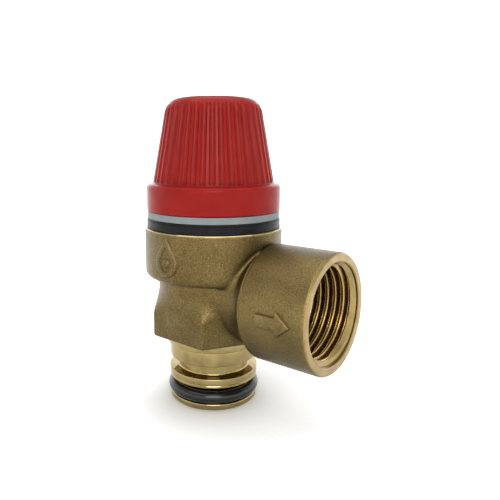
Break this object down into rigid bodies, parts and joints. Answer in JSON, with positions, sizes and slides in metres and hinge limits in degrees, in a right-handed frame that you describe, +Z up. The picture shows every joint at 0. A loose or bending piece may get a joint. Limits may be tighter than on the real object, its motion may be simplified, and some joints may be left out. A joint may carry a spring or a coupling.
{
  "type": "pressure relief valve",
  "caption": "Plug-in pressure relief valve: turned spigot with seal and clip groove, forged hexagon body, female-threaded side outlet, ribbed test knob lifting a sprung seat disc.",
  "frame": {"origin": "on the valve axis at the end face of the inlet spigot", "axes": "+Z up the valve axis from spigot to knob, +X along the outlet axis towards its mouth"},
  "size_m": [0.0468, 0.0315, 0.069],
  "materials": {
    "forged_brass": "sand-blasted forging, turned bright on the spigot, outlet face and thread",
    "turned_brass": "turned",
    "knob_red": "moulded, satin gloss",
    "bonnet_black": "moulded glass-filled plastic",
    "ring_grey": "moulded",
    "slip_white": "low-friction plastic",
    "seal_black": "smooth",
    "steel": "bright"
  },
  "bodies": {
    "valve": {"valve_body": "forged_brass", "inlet_o_ring": "seal_black", "bonnet": "bonnet_black", "rating_ring": "ring_grey", "slip_ring": "slip_white", "diaphragm": "seal_black", "main_spring": "steel", "upper_spring_seat": "steel", "adjusting_nut": "turned_brass"},
    "lift_collar": {"lift_washer": "steel"},
    "knob": {"knob": "knob_red", "knob_cover": "knob_red"},
    "spindle": {"stem": "steel", "stem_nuts": "steel", "disc_washer": "steel", "seat_disc": "seal_black", "disc_holder": "turned_brass", "spacer_sleeve": "turned_brass", "lower_diaphragm_plate": "turned_brass", "upper_diaphragm_plate": "turned_brass", "stem_clip": "steel"}
  },
  "joints": [
    {"name": "knob_lift", "type": "slide", "parent": "valve", "child": "lift_collar", "axis": [0, 0, 1], "range_m": [0, 0.0015], "deforming": ["main_spring", "diaphragm"]},
    {"name": "knob_turn", "type": "hinge", "parent": "lift_collar", "child": "knob", "pos_m": [0, 0, 0.064], "axis": [0, 0, 1], "range_deg": [0, 60]},
    {"name": "relief_lift", "type": "slide", "parent": "lift_collar", "child": "spindle", "axis": [0, 0, 1], "range_m": [0, 0.0015], "stiffness_N_per_m": 16600, "springref_m": -0.0041, "deforming": ["main_spring", "diaphragm"]}
  ],
  "couplings": [
    {"joint": "knob_turn", "follows": "knob_lift", "rad_per_m": 698.13}
  ]
}
